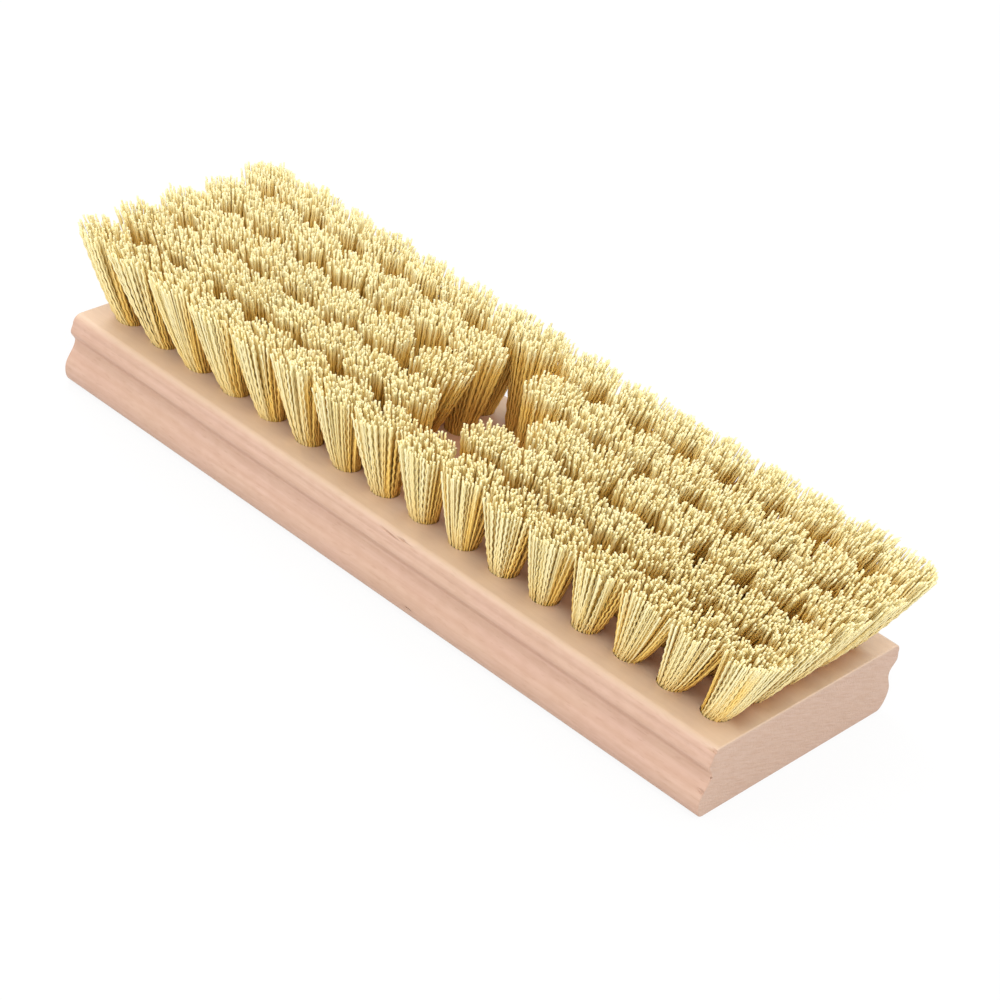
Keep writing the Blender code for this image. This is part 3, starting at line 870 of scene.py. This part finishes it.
class DECKBRUSH_OT_tufts(bpy.types.Operator):
    """Fills each drilled hole with crimped strands over a folded root"""

    bl_idname = "deckbrush.tufts"
    bl_label = "Fibre tufts"

    def execute(self, context):
        settings = context.scene.deckbrush_tufts
        fibre = crimped_fibre(settings)
        for number, (node, tufts) in enumerate(sorted(tuft_groups().items())):
            corners, faces, tone, shade_depths = crimped_strands(tufts, settings, 1000 * (number + 1))
            root_corners, root_faces = folded_roots(tufts, settings)
            shifted = [part + len(corners) for part in root_faces]
            piece = mesh_object(node.replace("tuft", "fibres"), np.concatenate([corners, root_corners]),
                                [*faces, *shifted])
            roots = np.ones(len(root_corners))
            add_number(piece, "strand_tone", np.concatenate([tone, ROOT_TONE * roots]))
            # The roots in the holes are given the full brown of the painted shade
            add_number(piece, "depth", np.concatenate([shade_depths, ROOT_SHADE * roots]))
            set_slots(piece, [fibre])
            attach(piece, BODY)
            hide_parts(node)
        return {"FINISHED"}


class DECKBRUSH_OT_staples(bpy.types.Operator):
    """Sets one wire staple in the bottom of each drilled hole, a piece for each row"""

    bl_idname = "deckbrush.staples"
    bl_label = "Wire staples"

    def execute(self, context):
        settings = context.scene.deckbrush_staples
        wire = galvanised_wire()
        for row in range(ROW_COUNT):
            piece = mesh_object(f"staples_row_{row + 1}", *wire_staples(row, settings))
            recalculate(piece)
            set_slots(piece, [wire])
            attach(piece, BODY)
        return {"FINISHED"}


class DECKBRUSH_OT_stage(bpy.types.Operator):
    """Sets out the pale table, the lamps and the camera"""

    bl_idname = "deckbrush.stage"
    bl_label = "Table, lamps and camera"

    def execute(self, context):
        settings = context.scene.deckbrush_stage
        square = np.array([[-1, -1, 0], [1, -1, 0], [1, 1, 0], [-1, 1, 0]])
        corners = TABLE_HALF * square - (0, 0, TABLE_DROP)
        table = mesh_object("table", corners, [np.array([[0, 1, 2, 3]])], smooth=False)
        set_slots(table, [table_white()])
        powers = (settings.left_power, settings.front_power, settings.fill_power, settings.high_power)
        for lamp, power in zip(LAMPS, powers):
            add_lamp(*lamp, power)
        set_world(settings.world_light)
        set_camera(settings)
        context.scene.view_settings.view_transform = "Standard"
        return {"FINISHED"}


def table_white():
    """A white table top, sprayed matt. What the camera sees is lifted to white, and shadows still show."""
    material, tree, shader = new_material("table white sprayed")
    shader.inputs["Base Color"].default_value = linear("E0E0E0")
    shader.inputs["Roughness"].default_value = 0.9
    rays = add_node(tree, "ShaderNodeLightPath")
    seen = add_node(tree, "ShaderNodeMath", {0: rays.outputs["Is Camera Ray"],
                                             1: rays.outputs["Is Glossy Ray"]}, operation="MAXIMUM")
    share = add_node(tree, "ShaderNodeMath", {0: seen.outputs[0], 1: TABLE_LIFT}, operation="MULTIPLY")
    white = add_node(tree, "ShaderNodeEmission", {"Color": (1, 1, 1, 1), "Strength": 1.0})
    both = add_node(tree, "ShaderNodeMixShader", {0: share.outputs[0], 1: shader.outputs[0],
                                                  2: white.outputs[0]})
    tree.links.new(both.outputs[0], tree.nodes["Material Output"].inputs["Surface"])
    return material


def add_lamp(name, place, size, power):
    """A square soft lamp aimed at the middle of the brush."""
    data = bpy.data.lights.new(name, "AREA")
    data.size = size
    data.energy = power
    lamp = bpy.data.objects.new(name, data)
    lamp.location = place
    lamp.rotation_euler = (-Vector(place)).to_track_quat("-Z", "Y").to_euler()
    bpy.context.scene.collection.objects.link(lamp)


def set_world(strength):
    """Even white room light, seen by the camera as plain white."""
    world = bpy.data.worlds.new("studio")
    world.use_nodes = True
    tree = world.node_tree
    rays = add_node(tree, "ShaderNodeLightPath")
    level = add_node(tree, "ShaderNodeMapRange", {"Value": rays.outputs["Is Camera Ray"], "To Min": strength,
                                                  "To Max": 1.0})
    tree.links.new(level.outputs[0], tree.nodes["Background"].inputs["Strength"])
    tree.nodes["Background"].inputs["Color"].default_value = (1, 1, 1, 1)
    bpy.context.scene.world = world


def set_camera(settings):
    """The camera stands off from its aim along its line of sight and is turned about it by the roll."""
    data = bpy.data.cameras.new("camera")
    data.lens = settings.lens
    data.sensor_width = 36
    camera = bpy.data.objects.new("camera", data)
    turn = (Matrix.Rotation(settings.azimuth, 4, "Z")
            @ Matrix.Rotation(math.pi / 2 - settings.elevation, 4, "X")
            @ Matrix.Rotation(settings.roll, 4, "Z"))
    back = turn @ Vector((0, 0, settings.distance))
    camera.matrix_world = Matrix.Translation(Vector(settings.aim) + back) @ turn
    bpy.context.scene.collection.objects.link(camera)
    bpy.context.scene.camera = camera


class DECKBRUSH_PT_panel(bpy.types.Panel):
    """Lists the steps that dress the brush"""

    bl_idname = "DECKBRUSH_PT_panel"
    bl_label = "Deck brush"
    bl_space_type = "VIEW_3D"
    bl_region_type = "UI"
    bl_category = "Deck brush"

    def draw(self, context):
        for step, group in STEPS:
            self.layout.operator(step)
            column = self.layout.column()
            for name in getattr(context.scene, group).bl_rna.properties.keys():
                if name not in ("rna_type", "name"):
                    column.prop(getattr(context.scene, group), name)


STEPS = (("deckbrush.block", "deckbrush_block"), ("deckbrush.tufts", "deckbrush_tufts"),
         ("deckbrush.staples", "deckbrush_staples"), ("deckbrush.stage", "deckbrush_stage"))
GROUPS = {"deckbrush_block": BlockSettings, "deckbrush_tufts": TuftSettings,
          "deckbrush_staples": StapleSettings, "deckbrush_stage": StageSettings}
CLASSES = (*GROUPS.values(), DECKBRUSH_OT_block, DECKBRUSH_OT_tufts, DECKBRUSH_OT_staples, DECKBRUSH_OT_stage,
           DECKBRUSH_PT_panel)


def register():
    """Adds the classes and their settings to Blender."""
    for part in CLASSES:
        bpy.utils.register_class(part)
    for name, group in GROUPS.items():
        setattr(bpy.types.Scene, name, bpy.props.PointerProperty(type=group))


def unregister():
    """Takes the settings and the classes out again."""
    for name in GROUPS:
        delattr(bpy.types.Scene, name)
    for part in reversed(CLASSES):
        bpy.utils.unregister_class(part)


def main():
    """Builds the pieces and the stage in order."""
    register()
    bpy.ops.deckbrush.block()
    bpy.ops.deckbrush.tufts()
    bpy.ops.deckbrush.staples()
    bpy.ops.deckbrush.stage()


if __name__ == "__main__":
    main()
